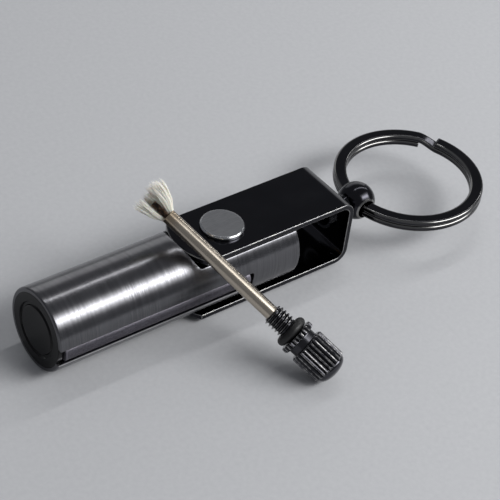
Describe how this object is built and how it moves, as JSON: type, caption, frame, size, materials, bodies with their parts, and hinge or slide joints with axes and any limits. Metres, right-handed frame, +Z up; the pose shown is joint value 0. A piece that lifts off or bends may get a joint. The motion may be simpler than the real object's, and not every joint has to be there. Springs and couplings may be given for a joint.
{
  "type": "flint spark lighter",
  "caption": "Key-ring flint lighter: round brushed fuel body with a ferrocerium rod, swinging strap with ball swivel and split ring, and a knurled wick match that screws into its end.",
  "frame": {"origin": "on the strap's pivot axis, where the flat face of the lower rivet's head meets the surface the lighter lies on", "axes": "+X along the body's axis towards the ball swivel and the ring, +Z up along the pivot axis, +Y away from the side with the ferrocerium rod"},
  "size_m": [0.0955, 0.0448, 0.0264],
  "materials": {
    "gunmetal_brushed": "circumferentially brushed gunmetal plate",
    "gloss_black": "gloss black",
    "seal_rubber": "matte black rubber",
    "brass": "turned brass",
    "cotton": "undyed cotton",
    "ferrocerium": "matte grey, faintly purple",
    "washer_steel": "satin steel",
    "satin_steel": "satin grey face with a bright bevelled rim",
    "black_nickel": "polished black nickel plate",
    "cap_black_nickel": "knurled, black nickel plated",
    "warm_nickel": "satin warm nickel",
    "tool_steel": "dark hardened steel"
  },
  "bodies": {
    "fuel_body": {"body_shell": "gunmetal_brushed", "end_plug": "gloss_black", "plug_seal": "seal_rubber", "neck_bush": "brass", "guide_tube": "brass", "fuel_wadding": "cotton", "ferro_rod": "ferrocerium", "pivot_washer_top": "washer_steel", "pivot_washer_bottom": "washer_steel", "pivot_rivet_top": "satin_steel", "pivot_rivet_bottom": "satin_steel"},
    "strap": {"strap": "black_nickel", "swivel_washer": "washer_steel"},
    "ball_swivel": {"swivel_ball": "black_nickel"},
    "ring": {"split_ring": "black_nickel"},
    "match": {"match_cap": "cap_black_nickel", "match_stem": "warm_nickel", "match_o_ring": "seal_rubber", "striker_blade": "tool_steel", "wick": "cotton"}
  },
  "joints": [
    {"name": "strap_swivel", "type": "hinge", "parent": "fuel_body", "child": "strap", "pos_m": [0, 0, 0.0075], "axis": [0, 0, 1], "range_deg": [-45, 110]},
    {"name": "ball_swivel", "type": "hinge", "parent": "strap", "child": "ball_swivel", "pos_m": [0.025, 0, 0.0075], "axis": [1, 0, 0], "continuous": true},
    {"name": "ring_swing", "type": "hinge", "parent": "ball_swivel", "child": "ring", "pos_m": [0.0314, 0, 0.0075], "axis": [0, 1, 0], "range_deg": [-105, 105]},
    {"name": "match_lift", "type": "slide", "parent": "fuel_body", "child": "match", "axis": [0, 0, 1], "range_m": [0, 0.05]}
  ]
}
